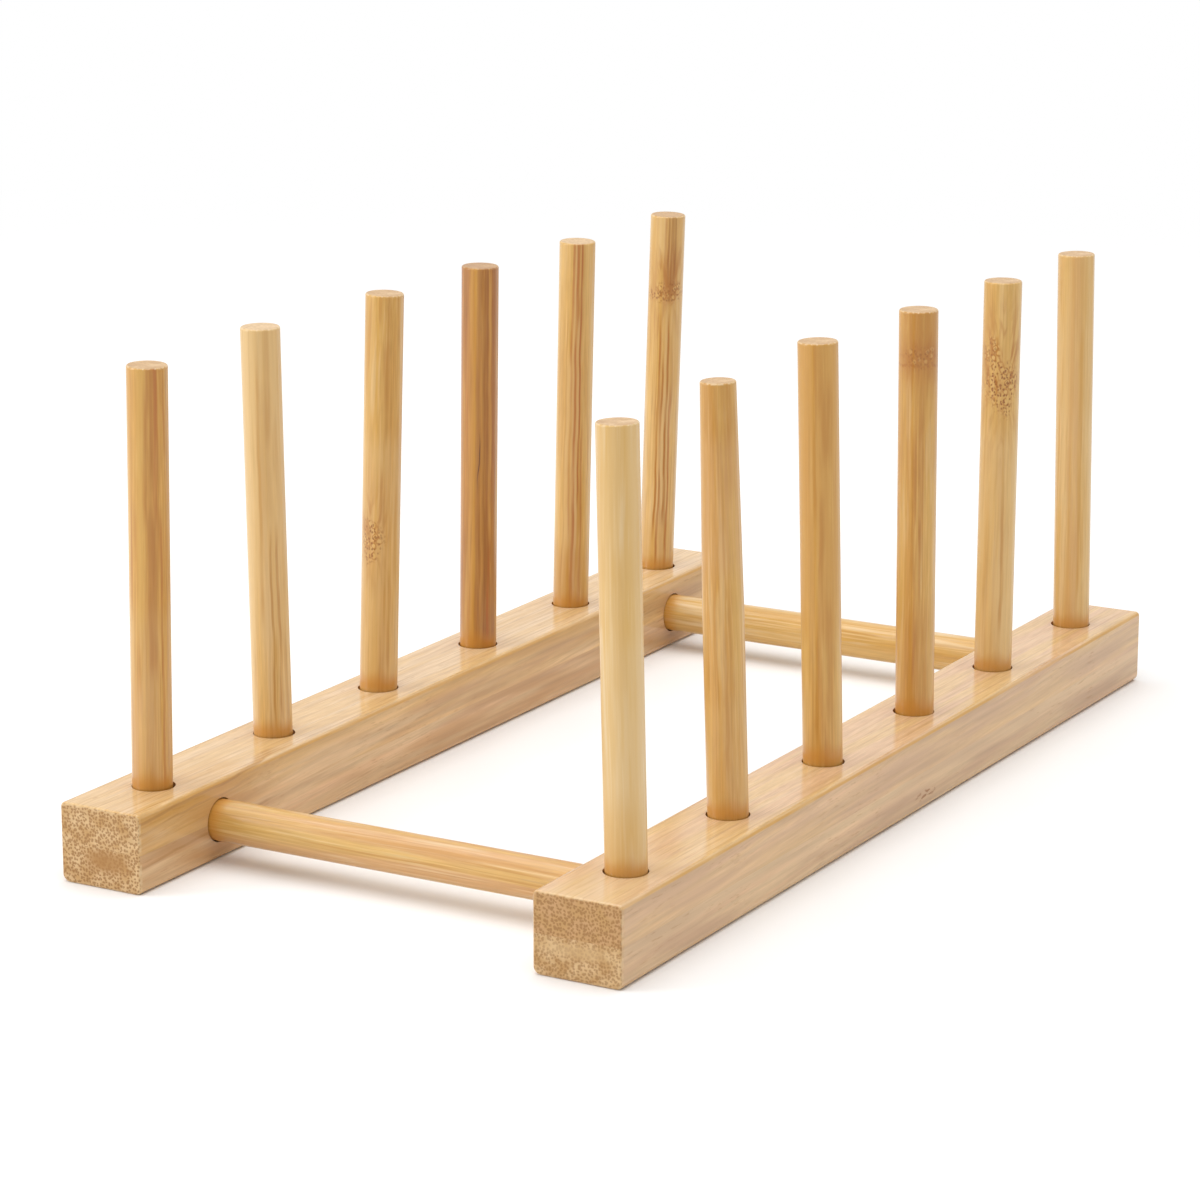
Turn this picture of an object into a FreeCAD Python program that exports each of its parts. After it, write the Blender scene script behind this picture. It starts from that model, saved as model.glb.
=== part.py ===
import FreeCAD, Part
import math
import os

# Table-top lid rack in bamboo: a pair of laminated rails, held apart by cross rods, carries a row of
# upright dowel posts on each rail. Lids and plates stand on edge across the rails, between the posts.
# Millimetres. X runs across the rack, Y along the rails with the front end at -Y, and Z is up.
# The origin lies on the table, under the middle of the rack.

# Rails: two plies of bamboo glued face to face, one on top of the other
rail_width = 23.4
lower_ply_height = 10.0
upper_ply_height = 10.0
rail_spacing = 131.5  # between the rails' centre lines
rail_top_edge_radius = 1.2  # long edges of the upper face
rail_bottom_edge_radius = 2.0  # long edges of the underside
rail_end_edge_radius = 0.8  # edges round the sawn ends

# Posts: round dowels, pushed into blind sockets in the rails' upper faces
posts_per_rail = 6
post_diameter = 9.9
post_pitch = 50.0
post_end_margin = 22.0  # from a rail's end to the nearest post's axis
post_standing_height = 103.7  # above the rail, of a post that is pushed right home
post_stop_short = 1.75  # the most that a post stops short of its socket's floor
post_clearance = 0.4  # between a centred post and the wall of its socket, all round
wood_under_post = 6.0  # left between a socket's floor and the table
post_socket_lean = 1.05  # degrees, of both rows towards each other
post_socket_overrun = 1.0  # of the drill past the rail's upper face, so that a leaning socket cuts it cleanly
post_socket_stray = 1.7  # the most that a socket is drilled off the even pitch
whittled_post = "right_post_2"  # one dowel that gets thinner towards its top
whittled_length = 55.0
whittled_loss = 1.4  # off its diameter, at the very top

# Cross rods: slightly thicker dowels, glued into blind sockets in the rails' facing sides
rod_diameter = 10.4
rod_clearance = 0.35  # between a rod and the wall of its socket, all round
rod_socket_depth = 8.0
rod_to_post_web = 0.3  # wood left between a rod's socket and the nearest post's

dowel_edge_radius = 0.5  # sanded edges at both ends of every dowel
glue_film = 0.05  # under the end of every dowel that is pushed right home
end_edge_limit = 0.8  # the most of a long edge's radius that the rounding of a rail's end may take
flatness = 1e-6  # how far an edge may stray from a plane and still count as lying in it

# How each post sits in its socket, from the front post back: its lean to the right, its lean to the back
# and its shift to the right, in shares of the clearance, then its share of the most it stops short, and its
# socket's share of the most it strays to the back.
post_seats = {
    "left": (
        (0.06, -0.10, -0.75, 0.23, 0.0),
        (-0.43, -0.18, -0.30, 0.36, 1.0),
        (0.18, 0.15, 0.10, 0.79, 0.0),
        (-0.09, 0.06, 0.20, 0.42, 0.0),
        (0.15, -0.09, 0.00, 0.13, 0.0),
        (0.21, 0.12, -0.60, 0.18, 0.0),
    ),
    "right": (
        (-0.15, 0.09, 0.40, 0.12, 0.0),
        (-0.21, -0.12, 0.30, 0.49, -0.60),
        (-0.12, -0.09, -0.20, 1.00, -0.75),
        (0.18, -0.06, 0.50, 0.69, 0.0),
        (0.30, 0.15, -0.10, 0.42, -0.95),
        (0.02, 0.06, 0.50, 0.03, 0.0),
    ),
}

# Worked out from the sizes above
rail_height = lower_ply_height + upper_ply_height
rail_length = 2 * post_end_margin + (posts_per_rail - 1) * post_pitch
post_socket_radius = post_diameter / 2 + post_clearance
post_socket_depth = rail_height - wood_under_post
post_length = post_socket_depth - glue_film + post_standing_height
first_post_y = -rail_length / 2 + post_end_margin
rod_socket_radius = rod_diameter / 2 + rod_clearance
rod_height = rail_height / 2
rod_to_post = post_socket_radius + rod_to_post_web + rod_socket_radius
rail_inner_gap = rail_spacing - rail_width
rod_length = rail_inner_gap + 2 * (rod_socket_depth - glue_film)
sides = {"left": -1, "right": 1}

X_AXIS = FreeCAD.Vector(1, 0, 0)
Y_AXIS = FreeCAD.Vector(0, 1, 0)
Z_AXIS = FreeCAD.Vector(0, 0, 1)


def seat_of(name, index):
    """How one post of a rail sits; a longer row starts again at the first seat."""
    return post_seats[name][index % len(post_seats[name])]


def post_row(name):
    """The places of one rail's post sockets along the rail."""
    strays = [seat_of(name, index)[-1] * post_socket_stray for index in range(posts_per_rail)]
    return [first_post_y + index * post_pitch + stray for index, stray in enumerate(strays)]


post_places = {name: post_row(name) for name in sides}
rod_places = {
    "front": max(row[0] for row in post_places.values()) + rod_to_post,
    "rear": min(row[-1] for row in post_places.values()) - rod_to_post,
}


def corner_arc(centre_x, centre_z, radius, start_degrees):
    """A quarter round of the rail's section, in the plane of its front end."""
    def point(degrees):
        angle = math.radians(degrees)
        return FreeCAD.Vector(
            centre_x + radius * math.cos(angle), -rail_length / 2, centre_z + radius * math.sin(angle)
        )

    return Part.Arc(point(start_degrees), point(start_degrees + 45), point(start_degrees + 90)).toShape()


def rail_section():
    """The rail's outline seen from its end: a rectangle with rounded corners, about X = 0."""
    top_x = rail_width / 2 - rail_top_edge_radius
    top_z = rail_height - rail_top_edge_radius
    bottom_x = rail_width / 2 - rail_bottom_edge_radius
    bottom_z = rail_bottom_edge_radius
    arcs = [
        corner_arc(top_x, top_z, rail_top_edge_radius, 0),
        corner_arc(-top_x, top_z, rail_top_edge_radius, 90),
        corner_arc(-bottom_x, bottom_z, rail_bottom_edge_radius, 180),
        corner_arc(bottom_x, bottom_z, rail_bottom_edge_radius, 270),
    ]
    edges = []
    for arc, following in zip(arcs, arcs[1:] + arcs[:1]):
        edges.append(arc)
        edges.append(Part.makeLine(arc.lastVertex().Point, following.firstVertex().Point))
    return Part.Wire(edges)


def is_end_edge(edge):
    """Whether an edge lies flat in one of the rail's two end planes."""
    box = edge.BoundBox
    return box.YLength < flatness and abs(abs(box.YMin) - rail_length / 2) < flatness


def rail_blank():
    """The rail before drilling, about X = 0, with its edges eased."""
    bar = Part.Face(rail_section()).extrude(rail_length * Y_AXIS)
    long_edge_radius = min(rail_top_edge_radius, rail_bottom_edge_radius)
    end_radius = min(rail_end_edge_radius, end_edge_limit * long_edge_radius)
    return bar.makeFillet(end_radius, [edge for edge in bar.Edges if is_end_edge(edge)])


def socket_frame(side, y):
    """The frame of one post socket: its origin on the socket's floor, its Z towards the socket's mouth."""
    mouth = FreeCAD.Vector(side * rail_spacing / 2, y, rail_height)
    leaning = FreeCAD.Placement(mouth, FreeCAD.Rotation(Y_AXIS, -side * post_socket_lean))
    return leaning * FreeCAD.Placement(-post_socket_depth * Z_AXIS, FreeCAD.Rotation())


def drilled_rail(name):
    """One rail in its place, with its post sockets and rod sockets."""
    side = sides[name]
    rail = rail_blank()
    rail.translate(side * rail_spacing / 2 * X_AXIS)
    for y in post_places[name]:
        socket = Part.makeCylinder(post_socket_radius, post_socket_depth + post_socket_overrun)
        socket.Placement = socket_frame(side, y)
        rail = rail.cut(socket)
    for y in rod_places.values():
        mouth = FreeCAD.Vector(side * rail_inner_gap / 2, y, rod_height)
        rail = rail.cut(Part.makeCylinder(rod_socket_radius, rod_socket_depth, mouth, side * X_AXIS))
    return rail


def ply(rail, bottom, height):
    """The slice of a rail between its bottom height and the glue line or face above."""
    box = rail.BoundBox
    corner = FreeCAD.Vector(box.XMin, box.YMin, bottom)
    return rail.common(Part.makeBox(box.XLength, box.YLength, height, corner)).Solids[0]


def dowel(diameter, length, tip_length=0.0, tip_loss=0.0):
    """A dowel standing on the origin with both ends eased; its tip may taper."""
    radius = diameter / 2
    shank_length = length - tip_length
    stick = Part.makeCylinder(radius, shank_length)
    if tip_length:
        tip = Part.makeCone(radius, radius - tip_loss / 2, tip_length, shank_length * Z_AXIS)
        stick = stick.fuse(tip).removeSplitter()
    rims = [edge for edge in stick.Edges if edge.isClosed() and is_level(edge, (0, length))]
    return stick.makeFillet(dowel_edge_radius, rims)


def is_level(edge, heights):
    """Whether an edge lies flat at one of the given heights."""
    box = edge.BoundBox
    return box.ZLength < flatness and any(abs(box.ZMin - height) < flatness for height in heights)


def post(side, y, seat, tip):
    """One post, rocked about the middle of its socket, shifted there and pushed down towards its floor."""
    lean_right, lean_back, shift_right, short, _ = seat
    play = 2 * post_clearance / post_socket_depth
    slope_x = lean_right * play
    slope_y = lean_back * play
    tilt = math.atan(math.hypot(slope_x, slope_y))
    flat_radius = post_diameter / 2 - dowel_edge_radius
    rocked_up = flat_radius * math.sin(tilt) + dowel_edge_radius * (1 - math.cos(tilt))
    lift = glue_film + short * post_stop_short + rocked_up
    half_depth = post_socket_depth / 2
    foot_x = shift_right * post_clearance - slope_x * half_depth
    foot = FreeCAD.Vector(foot_x, -slope_y * half_depth, lift)
    upright = FreeCAD.Vector(slope_x, slope_y, 1)
    piece = dowel(post_diameter, post_length, *tip)
    piece.Placement = socket_frame(side, y) * FreeCAD.Placement(foot, FreeCAD.Rotation(Z_AXIS, upright))
    return piece


def cross_rod(y):
    """One rod, lying across the rack from socket to socket."""
    piece = dowel(rod_diameter, rod_length)
    start = FreeCAD.Vector(-rod_length / 2, y, rod_height)
    piece.Placement = FreeCAD.Placement(start, FreeCAD.Rotation(Z_AXIS, X_AXIS))
    return piece


def pieces():
    """Every piece of the rack by name."""
    found = {}
    for name, side in sides.items():
        rail = drilled_rail(name)
        found[f"{name}_rail_lower_ply"] = ply(rail, 0, lower_ply_height)
        found[f"{name}_rail_upper_ply"] = ply(rail, lower_ply_height, upper_ply_height)
        for index, y in enumerate(post_places[name]):
            node = f"{name}_post_{index + 1}"
            tip = (whittled_length, whittled_loss) if node == whittled_post else (0.0, 0.0)
            found[node] = post(side, y, seat_of(name, index), tip)
    for name, y in rod_places.items():
        found[f"{name}_cross_rod"] = cross_rod(y)
    return found


os.makedirs("parts", exist_ok=True)
for node, shape in pieces().items():
    shape.exportStep(f"parts/{node}.step")
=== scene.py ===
import math

import bpy
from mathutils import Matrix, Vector


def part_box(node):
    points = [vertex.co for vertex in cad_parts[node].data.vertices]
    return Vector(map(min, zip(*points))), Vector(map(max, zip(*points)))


# Bamboo lid rack: two laminated rails, twelve upright posts and two cross rods, each with a grain of its own.
# The scene is in metres. The bamboo's grain is in millimetres, in a place of its own for every piece: Z runs
# along the grain from the piece's first end, and X and Y run across it.

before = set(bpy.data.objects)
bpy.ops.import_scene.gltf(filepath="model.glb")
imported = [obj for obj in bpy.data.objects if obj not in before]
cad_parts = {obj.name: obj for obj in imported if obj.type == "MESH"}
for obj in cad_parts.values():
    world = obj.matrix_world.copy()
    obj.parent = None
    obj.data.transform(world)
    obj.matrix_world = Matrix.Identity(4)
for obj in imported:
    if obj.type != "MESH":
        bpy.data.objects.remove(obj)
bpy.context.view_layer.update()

# The view
camera_place = Vector((0.50505, -0.90020, 0.31701))
camera_aim = Vector((-0.00783, -0.00887, 0.04756))
camera_lens = 123.93
camera_sensor = 36.0

# The studio: a white room with a wide soft lamp overhead and a tall one at the front left
room_light = 0.57
top_lamp_place = Vector((0.0, 0.0, 1.6))
top_lamp_size = (2.0, 2.0)
top_lamp_power = 24.0
side_lamp_place = Vector((-1.05, -0.85, 0.45))
side_lamp_size = (0.5, 0.9)
side_lamp_power = 7.5
floor_size = 40.0
floor_colour = (0.92, 0.92, 0.92, 1.0)
room_colour = (1.0, 1.0, 1.0, 1.0)
shadow_reach = (0.40, 1.00)  # the floor fades to plain white between these distances from the rack

# Bamboo tones, each lot from the palest to the darkest: of the dowels, of the rails and of sawn ends
IVORY = (0.740, 0.570, 0.340, 1.0)
CREAM = (0.700, 0.470, 0.200, 1.0)
STRAW = (0.665, 0.410, 0.125, 1.0)
HONEY = (0.620, 0.355, 0.085, 1.0)
ROSE = (0.610, 0.340, 0.135, 1.0)
TAN = (0.580, 0.300, 0.060, 1.0)
# The next tone is a stain of glue and painted shade, where a dowel goes into its socket
GLUE_AND_SHADE = (0.560, 0.235, 0.025, 1.0)
AMBER = (0.470, 0.205, 0.028, 1.0)
CHESTNUT = (0.420, 0.160, 0.022, 1.0)
RUST = (0.420, 0.120, 0.018, 1.0)
RUSSET = (0.290, 0.100, 0.016, 1.0)
UMBER = (0.130, 0.050, 0.015, 1.0)
RAIL_PALE = (0.730, 0.515, 0.290, 1.0)
RAIL_GOLD = (0.700, 0.465, 0.215, 1.0)
RAIL_ROSE = (0.685, 0.440, 0.250, 1.0)
RAIL_DUN = (0.545, 0.345, 0.205, 1.0)
RAIL_TAN = (0.540, 0.315, 0.145, 1.0)
RAIL_BROWN = (0.430, 0.230, 0.090, 1.0)
CUT_CREAM = (0.680, 0.470, 0.250, 1.0)
CUT_PALE = (0.620, 0.415, 0.205, 1.0)
CUT_TAN = (0.500, 0.290, 0.110, 1.0)
CUT_BROWN = (0.390, 0.195, 0.060, 1.0)
CUT_DOT = (0.310, 0.150, 0.048, 1.0)

# Lacquer
coat_roughness = 0.18

# Where the dowels go into the rails, in millimetres along a dowel that is pushed right home
post_socket_mouth = 14.0
rod_socket_mouths = (8.0, 116.1)

# Measures of the grain and its marks, in millimetres
metre = 1000.0
seed_step = (37.1, 91.7, 53.3)  # from one piece's share of the grain to the next one's
streak_end = 9.0  # over which a long streak begins and ends
zone_width = 40.0  # more than a dowel measures round, so that a zone goes all round it
zone_bearing = -60.0  # degrees
patch_depth = 1000.0  # of a patch on a sawn end, more than any piece's length
scar_place = (11.7, 1.1, 155.0)  # on the right rail's outer side, in the place of its lower ply
end_slice = 0.002  # metres: the points so near a piece's end give that end's middle


def feed(tree, socket, value):
    """Links a socket to another one, or sets its value."""
    if isinstance(value, bpy.types.NodeSocket):
        tree.links.new(value, socket)
    else:
        socket.default_value = value


def node(tree, kind, inputs, **settings):
    """A shader node with its settings, and with its inputs linked or set by name or number."""
    made = tree.nodes.new(kind)
    for name, value in settings.items():
        setattr(made, name, value)
    for name, value in inputs.items():
        feed(tree, made.inputs[name], value)
    return made


def calc(tree, operation, first, second=0.0, third=0.0):
    """A sum on values."""
    inputs = {0: first, 1: second, 2: third}
    return node(tree, "ShaderNodeMath", inputs, operation=operation).outputs[0]


def times(tree, *values):
    """The product of several values."""
    product = values[0]
    for value in values[1:]:
        product = calc(tree, "MULTIPLY", product, value)
    return product


def vector(tree, operation, first, second=(0.0, 0.0, 0.0), third=(0.0, 0.0, 0.0)):
    """A sum on vectors."""
    inputs = {0: first, 1: second, 2: third}
    return node(tree, "ShaderNodeVectorMath", inputs, operation=operation).outputs[0]


def measure(tree, operation, first, second=(0.0, 0.0, 0.0)):
    """A value from vectors, such as their dot product or a length."""
    inputs = {0: first, 1: second}
    return node(tree, "ShaderNodeVectorMath", inputs, operation=operation).outputs["Value"]


def height_of(tree, place):
    """A place's third number."""
    return node(tree, "ShaderNodeSeparateXYZ", {"Vector": place}).outputs["Z"]


def fade(tree, value, start, end):
    """0 where the value is at start, 1 where it is at end, and a smooth step between."""
    inputs = {"Value": value, "From Min": start, "From Max": end}
    return node(tree, "ShaderNodeMapRange", inputs, interpolation_type="SMOOTHSTEP").outputs["Result"]


def blend(tree, share, first, second):
    """Two colours mixed."""
    inputs = {0: share, 6: first, 7: second}
    return node(tree, "ShaderNodeMix", inputs, data_type="RGBA").outputs[2]


def brighten(tree, colour, value):
    """A colour made lighter or darker by a value about 1."""
    return node(tree, "ShaderNodeHueSaturation", {"Color": colour, "Value": value}).outputs["Color"]


def noise(tree, place, waves, detail=2.0, roughness=0.5):
    """Cloudy noise with so many waves per millimetre along each axis: a value and a colour about 0.5."""
    spread = vector(tree, "MULTIPLY", place, waves)
    inputs = {"Vector": spread, "Scale": 1.0, "Detail": detail, "Roughness": roughness}
    return node(tree, "ShaderNodeTexNoise", inputs).outputs


def cloud(tree, place, waves, detail=2.0, roughness=0.5):
    """Cloudy noise as a value."""
    return noise(tree, place, waves, detail, roughness)[0]


def drift(tree, place, waves, detail=2.0):
    """Cloudy noise as a step to any side, with a mean of about none."""
    return vector(tree, "SUBTRACT", noise(tree, place, waves, detail)["Color"], (0.5, 0.5, 0.5))


def patches(tree, place, waves, start, end, detail=2.0, roughness=0.5):
    """Cloudy noise as soft patches: 0 where it is at start, and 1 where it is at end."""
    return fade(tree, cloud(tree, place, waves, detail, roughness), start, end)


def cells(tree, place, dimensions, randomness):
    """Scattered cells, one to a unit: the distance to the nearest centre and a value for each cell."""
    inputs = {"Vector": place, "Scale": 1.0, "Randomness": randomness}
    made = node(tree, "ShaderNodeTexVoronoi", inputs, voronoi_dimensions=dimensions)
    tone = node(tree, "ShaderNodeSeparateColor", {"Color": made.outputs["Color"]})
    return made.outputs["Distance"], tone.outputs["Red"]


def way_round(tree, place, heart):
    """How far round a dowel a place lies from the heart of a mark, in millimetres."""
    flat = vector(tree, "MULTIPLY", place, (1.0, 1.0, 0.0))
    beside = vector(tree, "CROSS_PRODUCT", (0.0, 0.0, 1.0), heart)
    sideways = measure(tree, "DOT_PRODUCT", flat, beside)
    forwards = measure(tree, "DOT_PRODUCT", flat, heart)
    return times(tree, calc(tree, "ARCTAN2", sideways, forwards), measure(tree, "LENGTH", flat))


def new_group(name, inputs, outputs):
    """An empty shader node group: its tree, its input sockets and its output node's sockets, by name."""
    kinds = {1: "NodeSocketFloat", 3: "NodeSocketVector", 4: "NodeSocketColor"}
    tree = bpy.data.node_groups.new(name, "ShaderNodeTree")
    for label, default in inputs.items():
        count = 1 if isinstance(default, float) else len(default)
        socket = tree.interface.new_socket(label, in_out="INPUT", socket_type=kinds[count])
        socket.default_value = default
    for label, count in outputs.items():
        tree.interface.new_socket(label, in_out="OUTPUT", socket_type=kinds[count])
    given = tree.nodes.new("NodeGroupInput").outputs
    result = tree.nodes.new("NodeGroupOutput").inputs
    return tree, given, result


def use_group(tree, group, inputs):
    """A node group put into a material, with its inputs linked or set; gives its outputs."""
    made = tree.nodes.new("ShaderNodeGroup")
    made.node_tree = group
    for name, value in inputs.items():
        feed(tree, made.inputs[name], value)
    return made.outputs


def fibre_group():
    """Bamboo's fibres as a solid: bundles along the grain, streaks on a side and dots on an end."""
    tree, given, result = new_group(
        "bamboo fibres",
        {"Place": (0.0, 0.0, 0.0), "Seed": 0.0, "Spacing": 1.2, "Wander": 1.0},
        {
            "Bundle Distance": 1,
            "Bundles": 1,
            "Bundle Tone": 1,
            "Breaks": 1,
            "Hairlines": 1,
            "Dashes": 1,
            "Bands": 1,
            "Zones": 1,
            "Clusters": 1,
        },
    )
    strip = vector(tree, "MULTIPLY_ADD", given["Seed"], seed_step, given["Place"])
    sway = drift(tree, strip, (0.05, 0.05, 0.014), detail=1.0)
    jitter = drift(tree, strip, (1.1, 1.1, 0.03), detail=1.0)
    swayed = vector(tree, "MULTIPLY_ADD", sway, given["Wander"], strip)
    ragged = vector(tree, "MULTIPLY_ADD", jitter, (0.7, 0.7, 0.0), swayed)
    spaced = vector(tree, "DIVIDE", ragged, given["Spacing"])
    distance, tone = cells(tree, spaced, "2D", 0.85)
    feed(tree, result["Bundle Distance"], distance)
    feed(tree, result["Bundles"], fade(tree, distance, 0.46, 0.20))
    feed(tree, result["Bundle Tone"], tone)
    feed(tree, result["Breaks"], patches(tree, strip, (0.9, 0.9, 0.035), 0.38, 0.58))
    feed(tree, result["Hairlines"], cloud(tree, swayed, (2.1, 2.1, 0.016), detail=3.0, roughness=0.65))
    feed(tree, result["Dashes"], cloud(tree, swayed, (1.5, 1.5, 0.13), roughness=0.6))
    feed(tree, result["Bands"], cloud(tree, swayed, (0.45, 0.45, 0.028)))
    feed(tree, result["Zones"], cloud(tree, strip, (0.26, 0.26, 0.010), detail=1.5))
    feed(tree, result["Clusters"], cloud(tree, strip, (0.17, 0.17, 0.010), detail=1.0))
    return tree


def side_group():
    """Bamboo planed or turned along the grain: its colour, with painted sheen lines along it, and its relief.
    """
    tree, given, result = new_group(
        "bamboo side",
        {
            "Place": (0.0, 0.0, 0.0),
            "Bundles": 0.0,
            "Bundle Tone": 0.0,
            "Breaks": 1.0,
            "Hairlines": 0.5,
            "Dashes": 0.5,
            "Bands": 0.5,
            "Zones": 0.5,
            "Clusters": 0.5,
            "Ground": TAN,
            "Blush": ROSE,
            # Pale: the tone of the painted sheen lines along the grain
            "Pale": CREAM,
            "Streak": RUSSET,
            "Streaks": 0.4,
            "Contrast": 0.3,
            "Flecks": 0.0,
        },
        {"Colour": 4, "Relief": 1},
    )
    streaks = given["Streaks"]
    zoned = blend(tree, fade(tree, given["Zones"], 0.40, 0.60), given["Ground"], given["Blush"])
    # Painted sheen: pale lines and bands along the grain, mixed towards the Pale tone, stand in for the satin
    # lacquer's streaky highlights
    sheen_line = times(tree, fade(tree, given["Hairlines"], 0.47, 0.33), 0.40)
    sheen_band = times(tree, fade(tree, given["Bands"], 0.46, 0.30), 0.60)
    sheen_paled = blend(tree, calc(tree, "MAXIMUM", sheen_line, sheen_band), zoned, given["Pale"])
    clustered = calc(tree, "MULTIPLY_ADD", fade(tree, given["Clusters"], 0.38, 0.58), 0.75, 0.25)
    toned = fade(tree, given["Bundle Tone"], 0.15, 0.75)
    lined = fade(tree, given["Hairlines"], 0.50, 0.66)
    dark = times(tree, given["Bundles"], given["Breaks"], toned, clustered, streaks)
    fine = times(tree, lined, clustered, streaks, 0.5)
    broad = times(tree, fade(tree, given["Bands"], 0.52, 0.68), streaks, 0.6)
    darkest = calc(tree, "MAXIMUM", calc(tree, "MAXIMUM", dark, fine), broad)
    streaked = blend(tree, darkest, sheen_paled, given["Streak"])
    long_cells = vector(tree, "MULTIPLY", given["Place"], (0.8, 0.8, 0.22))
    distance, pick = cells(tree, long_cells, "3D", 1.0)
    fleck = times(tree, fade(tree, distance, 0.34, 0.20), fade(tree, pick, 0.94, 0.98), given["Flecks"])
    flecked = blend(tree, fleck, streaked, RUSSET)
    grain = calc(tree, "ADD", given["Hairlines"], given["Dashes"])
    step = times(tree, calc(tree, "SUBTRACT", 1.0, grain), given["Contrast"])
    feed(tree, result["Colour"], brighten(tree, flecked, calc(tree, "ADD", 1.0, step)))
    dug = calc(tree, "ADD", times(tree, dark, 0.6), fleck)
    feed(tree, result["Relief"], calc(tree, "SUBTRACT", given["Hairlines"], dug))
    return tree


def cut_group():
    """Bamboo sawn across the grain: bundles as dark dots in a paler ground, and a smooth patch."""
    tree, given, result = new_group(
        "bamboo cut",
        {
            "Place": (0.0, 0.0, 0.0),
            "Bundle Distance": 0.5,
            "Bundle Tone": 0.0,
            "Pale": CUT_PALE,
            "Brown": CUT_TAN,
            "Dots": 0.7,
            "Patch Place": (0.0, 0.0, 0.0),
            "Patch Size": (3.0, 2.0, patch_depth),
            "Patch Tone": CUT_BROWN,
            "Patch": 0.0,
        },
        {"Colour": 4},
    )
    place = given["Place"]
    mottle = patches(tree, place, (0.22, 0.22, 0.05), 0.28, 0.72)
    ground = blend(tree, mottle, given["Pale"], given["Brown"])
    sawn = cloud(tree, place, (0.15, 2.2, 0.15))
    scored = brighten(tree, ground, calc(tree, "MULTIPLY_ADD", sawn, -0.24, 1.12))
    dot_size = calc(tree, "MULTIPLY_ADD", given["Bundle Tone"], 0.22, 0.30)
    from_dot = calc(tree, "DIVIDE", given["Bundle Distance"], dot_size)
    dots = times(tree, fade(tree, from_dot, 1.35, 0.50), given["Dots"])
    dotted = blend(tree, dots, scored, CUT_DOT)
    ragged = vector(tree, "MULTIPLY_ADD", drift(tree, place, (0.5, 0.5, 0.1)), (3.0, 2.0, 0.0), place)
    offset = vector(tree, "SUBTRACT", ragged, given["Patch Place"])
    away = measure(tree, "LENGTH", vector(tree, "DIVIDE", offset, given["Patch Size"]))
    patch = times(tree, fade(tree, away, 1.40, 0.30), given["Patch"])
    feed(tree, result["Colour"], blend(tree, patch, dotted, given["Patch Tone"]))
    return tree


def cut_mask_group():
    """Where a piece's surface is sawn across the grain, and its rounded end edge, worn pale on a dowel and
    with a painted highlight on a ply.
    """
    inputs = {"Place": (0.0, 0.0, 0.0), "Normal": (0.0, 0.0, 1.0), "Grain": (0.0, 0.0, 1.0)}
    tree, given, result = new_group("cut ends", inputs, {"Mask": 1, "Worn Rim And Highlight": 1})
    facing = calc(tree, "ABSOLUTE", measure(tree, "DOT_PRODUCT", given["Normal"], given["Grain"]))
    feed(tree, result["Mask"], fade(tree, facing, 0.70, 0.86))
    chips = patches(tree, given["Place"], (0.9, 0.9, 0.4), 0.42, 0.60)
    # Pale end edges: wear on a dowel's end, and a painted highlight along a ply's end edge
    edge = times(tree, fade(tree, facing, 0.12, 0.45), fade(tree, facing, 0.985, 0.86))
    feed(tree, result["Worn Rim And Highlight"], times(tree, edge, chips))
    return tree


def long_streak_group():
    """One long streak, of another tone than the strip: darker fibre, a bleached side or a crack."""
    tree, given, result = new_group(
        "long streak",
        {
            "Colour": TAN,
            "Place": (0.0, 0.0, 0.0),
            "Heart": (1.0, 0.0, 0.0),
            "Width": 1.0,
            "Low": 0.0,
            "High": 100.0,
            "Wander": 0.6,
            "Tone": RUSSET,
            "Strength": 0.5,
        },
        {"Colour": 4},
    )
    place = given["Place"]
    along = height_of(tree, place)
    bend = calc(tree, "SUBTRACT", cloud(tree, place, (0.01, 0.01, 0.04)), 0.5)
    from_heart = way_round(tree, place, given["Heart"])
    bent = calc(tree, "MULTIPLY_ADD", bend, times(tree, given["Wander"], 4.0), from_heart)
    off = calc(tree, "ABSOLUTE", bent)
    across = fade(tree, calc(tree, "DIVIDE", off, given["Width"]), 1.15, 0.35)
    above_low = calc(tree, "SUBTRACT", along, given["Low"])
    below_high = calc(tree, "SUBTRACT", given["High"], along)
    inside = fade(tree, calc(tree, "MINIMUM", above_low, below_high), 0.0, streak_end)
    gaps = patches(tree, place, (1.2, 1.2, 0.05), 0.34, 0.60)
    broken = calc(tree, "MULTIPLY_ADD", gaps, 0.55, 0.45)
    share = times(tree, across, inside, broken, given["Strength"])
    feed(tree, result["Colour"], blend(tree, share, given["Colour"], given["Tone"]))
    return tree


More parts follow.
